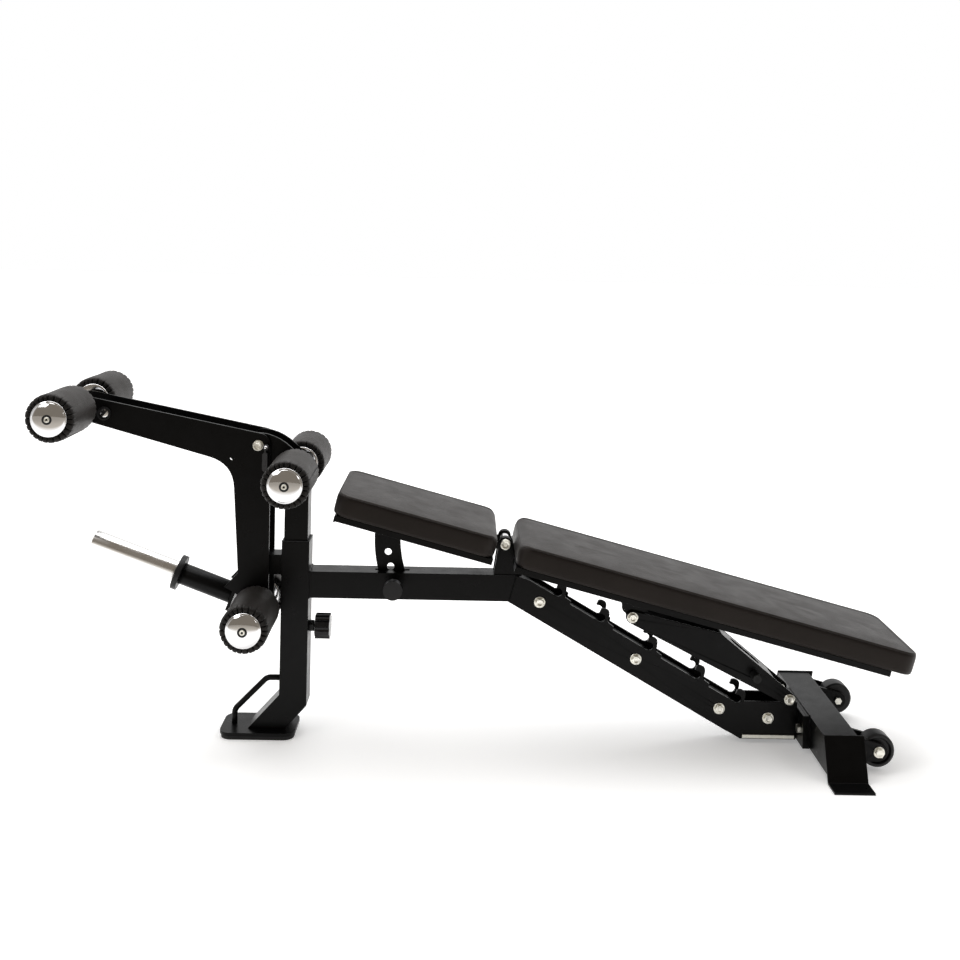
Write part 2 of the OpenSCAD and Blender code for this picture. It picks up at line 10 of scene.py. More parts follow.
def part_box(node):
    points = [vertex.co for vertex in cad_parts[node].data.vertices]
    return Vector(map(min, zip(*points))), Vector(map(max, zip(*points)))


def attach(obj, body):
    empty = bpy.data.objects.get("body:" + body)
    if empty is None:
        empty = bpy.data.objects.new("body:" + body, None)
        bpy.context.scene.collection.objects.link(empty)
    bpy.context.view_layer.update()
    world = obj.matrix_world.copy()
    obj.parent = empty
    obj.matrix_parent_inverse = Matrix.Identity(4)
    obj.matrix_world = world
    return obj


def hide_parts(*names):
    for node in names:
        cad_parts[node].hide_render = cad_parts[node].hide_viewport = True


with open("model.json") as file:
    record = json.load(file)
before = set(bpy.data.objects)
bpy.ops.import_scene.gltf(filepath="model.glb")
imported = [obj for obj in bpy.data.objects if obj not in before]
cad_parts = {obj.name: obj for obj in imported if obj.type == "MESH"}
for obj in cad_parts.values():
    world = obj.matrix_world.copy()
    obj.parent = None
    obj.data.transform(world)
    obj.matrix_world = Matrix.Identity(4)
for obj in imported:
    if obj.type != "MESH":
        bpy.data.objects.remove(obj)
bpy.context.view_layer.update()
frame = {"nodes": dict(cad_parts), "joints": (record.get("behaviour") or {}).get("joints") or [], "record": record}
scene = bpy.context.scene
nodes = frame["nodes"]
joints = {j["name"]: j for j in frame["joints"]}


# ---------- Camera, lights and stage ----------

def place_camera():
    """Nearly level camera a little above the bench, shifted down to frame it."""
    data = bpy.data.cameras.new("camera")
    data.sensor_width = 36.0
    data.lens = 44.12
    data.shift_y = -0.231
    cam = bpy.data.objects.new("camera", data)
    scene.collection.objects.link(cam)
    yaw, pitch, roll = 0.0095, math.radians(1.0), 0.0216
    look = (Matrix.Rotation(-yaw, 4, "Z") @ Matrix.Rotation(math.radians(90) - pitch, 4, "X")
            @ Matrix.Rotation(roll, 4, "Z"))
    cam.matrix_world = Matrix.Translation((-0.0419, -2.8097, 1.1929)) @ look
    scene.camera = cam


def area_light(name, place, aim, size, watts):
    """Rectangular soft box turned to face aim."""
    data = bpy.data.lights.new(name, "AREA")
    data.shape = "RECTANGLE"
    data.size, data.size_y = size
    data.energy = watts
    lamp = bpy.data.objects.new(name, data)
    scene.collection.objects.link(lamp)
    lamp.location = place
    lamp.rotation_euler = (Vector(aim) - Vector(place)).to_track_quat("-Z", "Y").to_euler()


def light_studio():
    """White room that is darker behind the camera, with soft boxes above and to the sides."""
    world = bpy.data.worlds.new("studio")
    scene.world = world
    world.use_nodes = True
    tree = world.node_tree
    tree.nodes.clear()
    out = tree.nodes.new("ShaderNodeOutputWorld")
    back = tree.nodes.new("ShaderNodeBackground")
    where = tree.nodes.new("ShaderNodeTexCoord")
    split = tree.nodes.new("ShaderNodeSeparateXYZ")
    ramp = tree.nodes.new("ShaderNodeValToRGB")
    ramp.color_ramp.elements[0].position = 0.30
    ramp.color_ramp.elements[0].color = (0.20, 0.175, 0.145, 1)
    ramp.color_ramp.elements[1].position = 0.66
    ramp.color_ramp.elements[1].color = (1, 1, 1, 1)
    half = tree.nodes.new("ShaderNodeMath")
    half.operation = "MULTIPLY_ADD"
    half.inputs[1].default_value = 0.5
    half.inputs[2].default_value = 0.5
    tree.links.new(where.outputs["Generated"], split.inputs[0])
    tree.links.new(split.outputs["Y"], half.inputs[0])
    tree.links.new(half.outputs[0], ramp.inputs["Fac"])
    tree.links.new(ramp.outputs["Color"], back.inputs["Color"])
    tree.links.new(back.outputs[0], out.inputs[0])
    area_light("top_box", (-0.2, 0.5, 3.0), (0, 0.1, 0.4), (3.6, 2.4), 70)
    area_light("left_box", (-2.4, -1.7, 2.5), (-0.5, 0, 0.5), (1.5, 1.1), 20)
    area_light("right_box", (2.6, -1.2, 2.3), (0.3, 0, 0.3), (1.0, 1.0), 8)
    scene.view_settings.view_transform = "Standard"


def lay_floor():
    """Wide plain floor."""
    bpy.ops.mesh.primitive_plane_add(size=60, location=(0, 0, 0))
    floor = bpy.context.object
    floor.name = "floor"
    floor.data.materials.append(floor_material())


def floor_material():
    """White under and behind the bench, and a greyer beige far in front of it, where only the
    chrome sees it."""
    mat, tree, shader = new_material("floor_white", (0.9, 0.9, 0.9), 0.9)
    shader.inputs["Specular IOR Level"].default_value = 0.1
    where = tree.nodes.new("ShaderNodeTexCoord")
    split = tree.nodes.new("ShaderNodeSeparateXYZ")
    span = tree.nodes.new("ShaderNodeMapRange")
    span.inputs["From Min"].default_value = -1.7
    span.inputs["From Max"].default_value = -1.0
    tree.links.new(where.outputs["Object"], split.inputs[0])
    tree.links.new(split.outputs["Y"], span.inputs["Value"])
    blend = tree.nodes.new("ShaderNodeMix")
    blend.data_type = "RGBA"
    blend.inputs["A"].default_value = (0.40, 0.37, 0.33, 1)
    blend.inputs["B"].default_value = (0.93, 0.93, 0.93, 1)
    tree.links.new(span.outputs["Result"], blend.inputs["Factor"])
    tree.links.new(blend.outputs["Result"], shader.inputs["Base Color"])
    tree.links.new(blend.outputs["Result"], shader.inputs["Emission Color"])
    glow = tree.nodes.new("ShaderNodeMapRange")
    glow.inputs["From Min"].default_value = 0.4
    glow.inputs["From Max"].default_value = 3.0
    glow.inputs["To Min"].default_value = 0.3
    glow.inputs["To Max"].default_value = 0.85
    tree.links.new(split.outputs["Y"], glow.inputs["Value"])
    tree.links.new(glow.outputs["Result"], shader.inputs["Emission Strength"])
    return mat


# ---------- Materials ----------

def new_material(name, colour, roughness, metallic=0.0):
    """A Principled material, with its node tree and shader for the callers to build on."""
    mat = bpy.data.materials.new(name)
    mat.use_nodes = True
    shader = mat.node_tree.nodes["Principled BSDF"]
    shader.inputs["Base Color"].default_value = (*colour, 1)
    shader.inputs["Roughness"].default_value = roughness
    shader.inputs["Metallic"].default_value = metallic
    return mat, mat.node_tree, shader


def object_noise(tree, scale, detail=3.0, stretch=(1, 1, 1)):
    """Noise fixed to the object's own space."""
    where = tree.nodes.new("ShaderNodeTexCoord")
    mapping = tree.nodes.new("ShaderNodeMapping")
    mapping.inputs["Scale"].default_value = stretch
    tree.links.new(where.outputs["Object"], mapping.inputs["Vector"])
    tex = tree.nodes.new("ShaderNodeTexNoise")
    tex.inputs["Scale"].default_value = scale
    tex.inputs["Detail"].default_value = detail
    tree.links.new(mapping.outputs[0], tex.inputs["Vector"])
    return tex.outputs["Fac"]


def vary_colour(tree, shader, fac, low, high):
    """Drifts the base colour between two close values."""
    ramp = tree.nodes.new("ShaderNodeValToRGB")
    ramp.color_ramp.elements[0].position = 0.35
    ramp.color_ramp.elements[0].color = (*low, 1)
    ramp.color_ramp.elements[1].position = 0.65
    ramp.color_ramp.elements[1].color = (*high, 1)
    tree.links.new(fac, ramp.inputs["Fac"])
    tree.links.new(ramp.outputs["Color"], shader.inputs["Base Color"])


def vary_roughness(tree, shader, fac, low, high):
    """Drifts the roughness between two values."""
    span = tree.nodes.new("ShaderNodeMapRange")
    span.inputs["From Min"].default_value = 0.3
    span.inputs["From Max"].default_value = 0.7
    span.inputs["To Min"].default_value = low
    span.inputs["To Max"].default_value = high
    tree.links.new(fac, span.inputs["Value"])
    tree.links.new(span.outputs["Result"], shader.inputs["Roughness"])


def add_bump(tree, shader, fac, distance, strength):
    """Fine relief that is too small to model."""
    bump = tree.nodes.new("ShaderNodeBump")
    bump.inputs["Distance"].default_value = distance
    bump.inputs["Strength"].default_value = strength
    tree.links.new(fac, bump.inputs["Height"])
    tree.links.new(bump.outputs["Normal"], shader.inputs["Normal"])


def powder_coat():
    """Satin black powder coat with a fine orange-peel skin."""
    mat, tree, shader = new_material("powder_coat", (0.012, 0.012, 0.013), 0.4)
    vary_colour(tree, shader, object_noise(tree, 5, 4), (0.0014, 0.0014, 0.0015), (0.0026, 0.0025, 0.0025))
    vary_roughness(tree, shader, object_noise(tree, 40, 5), 0.27, 0.36)
    shader.inputs["Specular IOR Level"].default_value = 0.13
    add_bump(tree, shader, object_noise(tree, 1300, 2), 0.0003, 0.35)
    return mat


def chrome():
    """Polished chrome plate with a faint waviness."""
    mat, tree, shader = new_material("chrome", (0.86, 0.86, 0.87), 0.06, 1.0)
    vary_roughness(tree, shader, object_noise(tree, 60, 6), 0.06, 0.11)
    add_bump(tree, shader, object_noise(tree, 12, 2), 0.0006, 0.12)
    return mat


def brushed_chrome():
    """Chrome with turning marks that run round the sleeve."""
    mat, tree, shader = new_material("sleeve_chrome", (0.85, 0.84, 0.83), 0.2, 1.0)
    vary_roughness(tree, shader, object_noise(tree, 30, 5), 0.16, 0.27)
    add_bump(tree, shader, object_noise(tree, 900, 2, (1.0, 0.06, 0.06)), 0.0002, 0.2)
    return mat


def zinc():
    """Bright zinc plate of the bolts and washers."""
    mat, tree, shader = new_material("zinc_plate", (0.88, 0.87, 0.80), 0.4, 1.0)
    vary_colour(tree, shader, object_noise(tree, 70, 3), (0.84, 0.83, 0.76), (0.93, 0.91, 0.82))
    vary_roughness(tree, shader, object_noise(tree, 160, 4), 0.25, 0.42)
    add_bump(tree, shader, object_noise(tree, 700, 3), 0.0002, 0.25)
    return mat


def vinyl(name, low, high, roughness, grain):
    """Leather-grained vinyl: cells a millimetre or two across with fine creases between them."""
    mat, tree, shader = new_material(name, high, roughness)
    vary_colour(tree, shader, object_noise(tree, 9, 5), low, high)
    vary_roughness(tree, shader, object_noise(tree, 22, 4), roughness - 0.05, roughness + 0.06)
    where = tree.nodes.new("ShaderNodeTexCoord")
    cells = tree.nodes.new("ShaderNodeTexVoronoi")
    cells.feature = "DISTANCE_TO_EDGE"
    cells.inputs["Scale"].default_value = grain
    tree.links.new(where.outputs["Object"], cells.inputs["Vector"])
    add_bump(tree, shader, cells.outputs["Distance"], 0.0006, 0.45)
    shader.inputs["Sheen Weight"].default_value = 0.04
    shader.inputs["Sheen Roughness"].default_value = 0.4
    shader.inputs["Specular IOR Level"].default_value = 0.17
    # Brownish tint on the reflections: painted warm light on the vinyl
    shader.inputs["Specular Tint"].default_value = (1.0, 0.9, 0.84, 1)
    return mat


def moulded(name, colour, roughness):
    """Moulded plastic or rubber with a spark-eroded texture."""
    mat, tree, shader = new_material(name, colour, roughness)
    bright = tuple(c * 1.5 for c in colour)
    vary_colour(tree, shader, object_noise(tree, 14, 4), colour, bright)
    vary_roughness(tree, shader, object_noise(tree, 90, 4), roughness - 0.06, roughness + 0.06)
    add_bump(tree, shader, object_noise(tree, 1700, 2), 0.0003, 0.4)
    shader.inputs["Specular IOR Level"].default_value = 0.3
    return mat


def dark_steel():
    """Blackened steel of the lock pin."""
    mat, tree, shader = new_material("dark_steel", (0.05, 0.05, 0.052), 0.4, 0.6)
    vary_roughness(tree, shader, object_noise(tree, 80, 4), 0.34, 0.5)
    add_bump(tree, shader, object_noise(tree, 900, 2), 0.0002, 0.3)
    return mat


def make_materials():
    """Every material by the name of the slot it serves, and a few more for single pieces."""
    return {
        "black_steel": powder_coat(),
        "chrome": chrome(),
        "sleeve": brushed_chrome(),
        "zinc": zinc(),
        "vinyl": vinyl("pad_vinyl", (0.0120, 0.0100, 0.0090), (0.0150, 0.0124, 0.0112), 0.42, 620),
        "foam_vinyl": vinyl("roller_vinyl", (0.0125, 0.0110, 0.0100), (0.0155, 0.0136, 0.0124), 0.48, 700),
        # Darker copy of the roller vinyl: painted shade of the pleated ends
        "pleat_shade_vinyl": vinyl("pleat_shade_vinyl", (0.008, 0.008, 0.0082), (0.012, 0.012, 0.012), 0.33, 700),
        "dark_steel": dark_steel(),
        "plastic": moulded("plastic", (0.006, 0.006, 0.0065), 0.42),
        "gloss": moulded("gloss_plastic", (0.006, 0.006, 0.0065), 0.2),
        "rubber": moulded("rubber", (0.008, 0.008, 0.008), 0.6),
        "thread": moulded("stitching", (0.02, 0.02, 0.02), 0.7),
    }


# CAD nodes with a finish of their own, and the radius that a CAD node's edges are rounded to
OWN_MATERIAL = {"weight_sleeve": "sleeve", "lock_pin": "dark_steel", "star_knob": "gloss"}
EDGE_ROUND = 0.0009
ROUNDED = {"pop_pin": 0.0035, "star_knob": 0.0028, "sleeve_collar": 0.002, "wheel_near": 0.0014,
           "wheel_far": 0.0014, "base_foot_pad": 0.002, "knob_nut": 0.0015, "stop_bumper": 0.0015,
           "strut_grip": 0.0025, "lock_pin": 0.0012, "ladder_claws": 0.0007}


def dress_nodes(mats):
    """Gives every CAD node the material of its slot, and softens the edges of the steel."""
    slot_of = {s["node"]: s["material_slot"] for s in frame["record"]["subparts"]}
    for name, node in nodes.items():
        mat = mats[OWN_MATERIAL.get(name, slot_of[name])]
        if not node.material_slots:
            node.data.materials.append(mat)
        for held in node.material_slots:
            held.link = "OBJECT"
            held.material = mat
        soften(node, ROUNDED.get(name, EDGE_ROUND))


def soften(node, width):
    """Rounds a CAD node's sharp edges as paint, pressing and moulding leave them."""
    weld = node.modifiers.new("weld", "WELD")
    weld.merge_threshold = 0.00002
    bevel = node.modifiers.new("edges", "BEVEL")
    bevel.width = width
    bevel.segments = 2 if width <= EDGE_ROUND else 4
    bevel.limit_method = "ANGLE"
    bevel.angle_limit = math.radians(38)
    bevel.harden_normals = False
    bevel.use_clamp_overlap = True


# ---------- Mesh helpers ----------

def add_piece(name, mesh, mat, body, smooth=True):
    """Makes an object of the mesh that rides on the body and takes its finish from the slot."""
    piece = bpy.data.objects.new(name, mesh)
    scene.collection.objects.link(piece)
    mesh.materials.append(mat)
    if smooth:
        for face in mesh.polygons:
            face.use_smooth = True
    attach(piece, body)
    return piece


def grid_mesh(name, rings, closed_ends=True):
    """Skins a stack of closed rings of points, all the same length, and closes both ends."""
    mesh = bpy.data.meshes.new(name)
    count = len(rings[0])
    verts = [p for ring in rings for p in ring]
    faces = []
    for r in range(len(rings) - 1):
        for i in range(count):
            j = (i + 1) % count
            faces.append((r * count + i, r * count + j, (r + 1) * count + j, (r + 1) * count + i))
    if closed_ends:
        for r, flip in ((0, True), (len(rings) - 1, False)):
            middle = sum((Vector(p) for p in rings[r]), Vector()) / count
            verts.append(tuple(middle))
            hub = len(verts) - 1
            for i in range(count):
                j = (i + 1) % count
                tri = (r * count + i, r * count + j, hub)
                faces.append(tri[::-1] if flip else tri)
    mesh.from_pydata(verts, [], faces)
    tidy_normals(mesh)
    return mesh


def tidy_normals(mesh):
    """Turns every face outwards."""
    bm = bmesh.new()
    bm.from_mesh(mesh)
    bmesh.ops.recalc_face_normals(bm, faces=bm.faces)
    bm.to_mesh(mesh)
    bm.free()
    mesh.validate()
    mesh.update()


def lathe_y(name, profile, centre, side, steps=64, shape=None):
    """Turns (radius, distance) about a line along Y through centre; distance runs outwards on that side."""
    rings = []
    for radius, run in profile:
        ring = []
        for k in range(steps):
            turn = 2 * math.pi * k / steps
            grow, push = shape(radius, run, turn) if shape else (0.0, 0.0)
            ring.append((centre[0] + (radius + grow) * math.cos(turn),
                         side * (run + push),
                         centre[1] + (radius + grow) * math.sin(turn)))
        rings.append(ring)
    return grid_mesh(name, rings)


def arc(centre, radius, start, end, steps):
    """Points (r, y) of an arc in a lathe profile; angles in degrees."""
    return [(centre[0] + radius * math.cos(math.radians(start + (end - start) * i / steps)),
             centre[1] + radius * math.sin(math.radians(start + (end - start) * i / steps)))
            for i in range(steps + 1)]


# ---------- Rollers ----------

PLEATS = 24
# Where each roller's seam came to rest, in degrees round its bar
SEAM_TURN = {"roller_top_near": -60, "roller_top_far": -110, "roller_mid_near": 14, "roller_mid_far": -75,
             "roller_low_near": 172, "roller_low_far": -95}
FOAM_ROUND = 0.009    # radius of a roller's ends
PLEAT_SHADE_REACH = 0.0085  # how far the darker vinyl runs from each end: painted shade of the drawn-in pleats


def roller(name, near, mats):
    """Vinyl-covered foam with pleats drawn in under a chrome cap at each end, where the vinyl is painted darker as
    the shade of the folds. Its body has its name.
    """
    body = name
    low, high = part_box(name + "_foam")
    caps_low, caps_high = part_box(name + "_caps")
    side = -1 if near else 1
    centre = ((low.x + high.x) / 2, (low.z + high.z) / 2)
    radius = (high.x - low.x) / 2
    start, end = (-high.y, -low.y) if near else (low.y, high.y)
    cap_r = (caps_high.x - caps_low.x) / 2
    tip = -caps_low.y if near else caps_high.y
    hub = cap_r - 0.006

    def pleated(r, run, turn):
        edge = min(run - start, end - run)
        fade = max(0.0, 1 - max(0.0, edge) / 0.022)
        inward = max(0.0, min(1.0, (radius - r) / 0.006))
        depth = max(fade * 0.55, inward) if edge < 0.022 else 0.0
        wave = abs(math.sin(turn * PLEATS / 2 + 0.5 * math.sin(3 * turn) + 0.2 * math.sin(7 * turn)))
        fold = (1 - min(1.0, wave / 0.55)) ** 1.2
        drift = 0.0006 * math.sin(turn * 2 + run * 40) + 0.0003 * math.sin(turn * 5 + run * 23)
        sign = 1 if run - start < end - run else -1
        return -0.0042 * depth * fold + (drift if edge > 0.004 else 0.0) * 0.8, sign * 0.0068 * depth * fold

    profile = [(hub, start + 0.0012)]
    profile += [(hub + (radius - FOAM_ROUND - hub) * t, start + 0.0012 - 0.0012 * math.sin(math.pi * t))
                for t in (0.25, 0.5, 0.75)]
    profile += arc((radius - FOAM_ROUND, start + FOAM_ROUND), FOAM_ROUND, -90, 0, 7)
    run_steps = 18
    profile += [(radius, start + FOAM_ROUND + (end - start - 2 * FOAM_ROUND) * i / run_steps)
                for i in range(1, run_steps)]
    profile += arc((radius - FOAM_ROUND, end - FOAM_ROUND), FOAM_ROUND, 0, 90, 7)
    profile += [(hub + (radius - FOAM_ROUND - hub) * t, end - 0.0012 + 0.0012 * math.sin(math.pi * t))
                for t in (0.75, 0.5, 0.25)]
    profile.append((hub, end - 0.0012))
    foam = add_piece(name + "_cover", lathe_y(name + "_cover", profile, centre, side, PLEATS * 12, pleated),
                     mats["foam_vinyl"], body)
    foam.data.materials.append(mats["pleat_shade_vinyl"])
    # Faces within that reach of each end take the darker vinyl: painted shade of the pleats
    for face in foam.data.polygons:
        run = side * face.center.y
        if min(run - start, end - run) < PLEAT_SHADE_REACH:
            face.material_index = 1
    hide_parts(name + "_foam")
    roller_seam(name, body, centre, side, radius, start, end, mats)
    dome = outer_cap(name, body, centre, side, cap_r, end, tip, mats)
    inner_cap(name, body, centre, side, cap_r, start, mats)
    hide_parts(name + "_caps")


def roller_seam(name, body, centre, side, radius, start, end, mats):
    """Sewn seam along the cover, on the side that each roller came to rest on."""
    turn = math.radians(SEAM_TURN[name])
    rings = []
    steps = 40
    for i in range(steps + 1):
        run = start + 0.012 + (end - start - 0.024) * i / steps
        ring = []
        for k in range(6):
            a = 2 * math.pi * k / 6
            bump = 0.0009 if i % 2 else 0.0007
            r = radius + 0.0002 + bump * math.cos(a)
            t = turn + bump * 1.6 * math.sin(a) / radius
            ring.append((centre[0] + r * math.cos(t), side * run, centre[1] + r * math.sin(t)))
        rings.append(ring)
    add_piece(name + "_seam", grid_mesh(name + "_seam", rings), mats["thread"], body)


def outer_cap(name, body, centre, side, cap_r, end, tip, mats):
    """Pressed chrome dome with a rolled rim, and the socket bolt at its middle."""
    rise = tip - end - 0.0035
    profile = [(0.0001, end - 0.001), (cap_r - 0.004, end - 0.001)]
    profile += arc((cap_r - 0.0016, end + 0.0012), 0.0016, -90, 60, 5)
    top = [(cap_r - 0.003) * math.cos(math.radians(a)) for a in range(6, 86, 5)]
    profile += [(r, end + 0.002 + rise * math.sqrt(max(0.0, 1 - (r / (cap_r - 0.0025)) ** 2)) ** 1.15)
                for r in top]
    profile.append((0.0001, end + 0.002 + rise))
    dome = add_piece(name + "_dome", lathe_y(name + "_dome", profile, centre, side, 96),
                     mats["chrome"], body)
    peak = end + 0.002 + rise
    bolt = [(0.0001, peak - 0.003), (0.0085, peak - 0.003), (0.0085, peak - 0.0003), (0.0062, peak - 0.0001),
            (0.006, peak + 0.0009), (0.005, peak + 0.0014), (0.003, peak + 0.0014), (0.0027, peak + 0.001),
            (0.0026, peak - 0.0012), (0.0001, peak - 0.0014)]
    screw = add_piece(name + "_bolt", lathe_y(name + "_bolt", bolt, centre, side, 36),
                      mats["zinc"], body)
    screw.parent = dome
    rim = [(0.0001, peak - 0.0025), (0.0112, peak - 0.0025), (0.0112, peak - 0.0006), (0.0100, peak + 0.0001),
           (0.0001, peak + 0.0002)]
    seat = add_piece(name + "_gasket", lathe_y(name + "_gasket", rim, centre, side, 48),
                     mats["rubber"], body)
    seat.parent = dome
    return dome


def inner_cap(name, body, centre, side, cap_r, start, mats):
    """Chrome ring that holds the cover's inner end round the bar."""
    bore = 0.0132
    profile = [(bore, start - 0.0005), (bore, start - 0.004), (bore + 0.003, start - 0.0042),
               (cap_r - 0.006, start - 0.0036)]
    profile += arc((cap_r - 0.002, start - 0.0012), 0.0018, -80, 80, 6)
    profile.append((cap_r - 0.006, start - 0.0005))
    rings = lathe_ring(profile, centre, side, 96)
    mesh = grid_mesh(name + "_ring", rings + [rings[0]], closed_ends=False)
    add_piece(name + "_ring", mesh, mats["chrome"], body)


def lathe_ring(profile, centre, side, steps):
    """Rings of a (radius, distance) profile turned about a line along Y through centre."""
    return [[(centre[0] + r * math.cos(2 * math.pi * k / steps), side * run,
              centre[1] + r * math.sin(2 * math.pi * k / steps)) for k in range(steps)]
            for r, run in profile]


# ---------- Pads ----------

CORNER = 0.036        # plan radius of a cushion's corners
PULL = 0.0022         # how far the sides draw in between the corners
WELT_R = 0.0010
WELT_DROP = 0.0045    # from the top panel down to the welt
HINGE_ROUND = 0.022   # radius over the end beside the pad pivot
SEAT_TILT = 14.6
BACK_TILT = 14.5
HALF_WIDTH = 0.15
CROWN = 0.003

def pad_frame(pivot, tilt):
    """Matrix of a pad's own frame: x rearwards along the pad, z square to it."""
    return Matrix.Translation(pivot) @ Matrix.Rotation(math.radians(tilt), 4, "Y")


def plan_ring(x0, x1, half_y, round_r, inset, per_corner, per_x, per_y):
    """Points round a rectangle with round corners, drawn in by inset, always the same count."""
    r = max(round_r - inset, 0.0006)
    ax, bx, hy = x0 + inset, x1 - inset, half_y - inset
    corners = [((bx - r, -hy + r), -90), ((bx - r, hy - r), 0), ((ax + r, hy - r), 90),
               ((ax + r, -hy + r), 180)]
    ring = []
    for n, ((cx, cy), first) in enumerate(corners):
        for i in range(per_corner + 1):
            a = math.radians(first + 90 * i / per_corner)
            ring.append((cx + r * math.cos(a), cy + r * math.sin(a)))
        (nx, ny), nfirst = corners[(n + 1) % 4]
        a = math.radians(nfirst)
        end = (nx + r * math.cos(a), ny + r * math.sin(a))
        start = ring[-1]
        count = per_y if n % 2 == 0 else per_x
        for i in range(1, count):
            t = i / count
            ring.append((start[0] + (end[0] - start[0]) * t, start[1] + (end[1] - start[1]) * t))
    return ring


def pad(name, body, local, x0, x1, half_y, z0, z1, mats):
    """Firm boxed cushion: a crowned top panel, a welt where it meets the band, and a band pulled in
    between the corners and tucked under the edge of the tray."""
    height = z1 - z0
    length = x1 - x0
    welt_z = z1 - WELT_DROP
    # Rings from the underside to the middle of the top: inset, height, share of the pull between corners
    levels = [(0.012, z0 + 0.0006, 0.0), (0.005, z0 + 0.001, 0.3), (0.0022, z0 + 0.004, 0.6),
              (0.0012, z0 + 0.010, 0.9), (0.0008, z0 + height * 0.36, 1.0), (0.0006, z0 + height * 0.6, 1.0),
              (0.0008, welt_z - 0.009, 0.9), (0.0014, welt_z - 0.004, 0.8), (0.0026, welt_z - 0.0012, 0.8),
              (0.0036, welt_z - 0.0002, 0.8), (0.0040, welt_z + 0.0010, 0.8), (0.0050, welt_z + 0.0022, 0.7),
              (0.0075, welt_z + 0.0034, 0.6), (0.0120, z1 - 0.0004, 0.5), (0.018, z1, 0.4),
              (0.028, z1, 0.3), (0.042, z1, 0.2), (0.058, z1, 0.1), (0.078, z1, 0.0), (0.100, z1, 0.0),
              (0.122, z1, 0.0), (half_y - 0.006, z1, 0.0)]
    rings = []
    for inset, z, pull in levels:
        ring = []
        for x, y in plan_ring(x0, x1, half_y, CORNER, inset, 10, 60 if length > 0.6 else 34, 30):
            along = (x - x0) / length
            wrinkle = 0.0005 * noise.noise(Vector((x * 14, y * 14, z * 30))) * (1 if z < z1 - 0.004 else 0.25)
            draw_in = 0.0
            if abs(y / half_y) > 0.9:
                draw_in = -math.copysign(PULL * pull * math.sin(math.pi * along) ** 0.5, y)
            rise = 0.0
            if z > welt_z + 0.004:
                soft_x = min(1.0, max(0.0, min(x - x0, x1 - x) / 0.09))
                soft_y = min(1.0, max(0.0, (half_y - abs(y)) / 0.09))
                rise = -CROWN * (1 - math.sin(soft_x * math.pi / 2) * math.sin(soft_y * math.pi / 2))
                rise += 0.0004 * noise.noise(Vector((x * 5, y * 5, 0.3)))
                rise += end_creases(x, y, x0, x1, half_y)
            top = z + rise + (wrinkle if z > welt_z else 0) * 0.5
            ring.append(local @ Vector((x + wrinkle, y + draw_in, hinge_drop(x, top, x0, x1, z1))))
        rings.append([tuple(p) for p in ring])
    piece = add_piece(name, grid_mesh(name, rings), mats["vinyl"], body)
    welt_cord(name + "_welt", local, x0, x1, half_y, welt_z, mats, body)
    return piece


def hinge_drop(x, z, x0, x1, z1):
    """Height once the end beside the pad pivot is rounded over, so the two pads clear each other."""
    reach = min(HINGE_ROUND, max(0.0, min(abs(x0), abs(x1)) + HINGE_ROUND - abs(x)))
    low = z1 - HINGE_ROUND - 0.002
    if z <= low:
        return z
    crest = math.sqrt(max(0.0, HINGE_ROUND ** 2 - reach ** 2))
    return low + (z - low) * (0.002 + crest) / (HINGE_ROUND + 0.002)


def end_creases(x, y, x0, x1, half_y):
    """Fine pulls in the top panel that fan out from the corners and fade within a hand's width."""
    near = min(x - x0, x1 - x)
    fan = math.sin(abs(y) / half_y * 26 + near * 30) * max(0.0, 1 - near / 0.10) ** 2
    return 0.0005 * fan * max(0.0, abs(y) / half_y - 0.35)


def welt_cord(name, local, x0, x1, half_y, z, mats, body):
    """Thin piped edge sewn between the top panel and the band."""
    path = plan_ring(x0, x1, half_y, CORNER, 0.0034, 14, 120, 50)
    count = len(path)
    rings = []
    for i in range(count):
        ahead = Vector(path[(i + 1) % count]) - Vector(path[i - 1])
        out = Vector((ahead.y, -ahead.x)).normalized()
        ring = []
        for k in range(8):
            a = 2 * math.pi * k / 8
            wide, tall = WELT_R * math.cos(a), WELT_R * math.sin(a)
            drop = hinge_drop(path[i][0], z, x0, x1, z + WELT_DROP)
            ring.append(tuple(local @ Vector((path[i][0] + out.x * wide, path[i][1] + out.y * wide,
                                              drop + tall))))
        rings.append(ring)
    rings.append(rings[0])
    add_piece(name, grid_mesh(name, rings, closed_ends=False), mats["vinyl"], body)


# ---------- Fastenings, welds and small parts ----------

def hex_radius(flat, turn):
    """Distance to the side of a hexagon whose flats are at this distance."""
    return flat / math.cos((turn % math.radians(60)) - math.radians(30))


def socket_head(name, body, centre, face, side, radius, rise, mats):
    """Rounded rim of a socket-head screw, standing on the head's flat end round a hexagon socket."""
    socket = radius * 0.42
    profile = [(radius, face - 0.0004), (radius, face + rise * 0.35)]
    profile += arc((radius - rise * 0.6, face + rise * 0.4), rise * 0.6, 0, 90, 5)[1:]
    profile += [(socket + 0.0009, face + rise), (socket + 0.0001, face + rise - 0.0006),
                (socket, face - 0.0004)]
    rings = []
    for r, run in profile:
        ring = []
        for k in range(72):
            turn = 2 * math.pi * k / 72
            reach = hex_radius(r, turn) if r < socket + 0.0008 else r
            ring.append((centre[0] + reach * math.cos(turn), side * run, centre[1] + reach * math.sin(turn)))
        rings.append(ring)
    mesh = grid_mesh(name, rings + [rings[0]], closed_ends=False)
    add_piece(name, mesh, mats["zinc"], body)


def washer(name, body, centre, face, side, bore, radius, mats):
    """Pressed washer under a bolt head."""
    profile = [(bore, face + 0.0001), (bore, face + 0.0016), (radius - 0.0008, face + 0.0016),
               (radius, face + 0.0009), (radius, face + 0.0001)]
    rings = lathe_ring(profile, centre, side, 48)
    mesh = grid_mesh(name, rings + [rings[0]], closed_ends=False)
    add_piece(name, mesh, mats["zinc"], body, smooth=False)


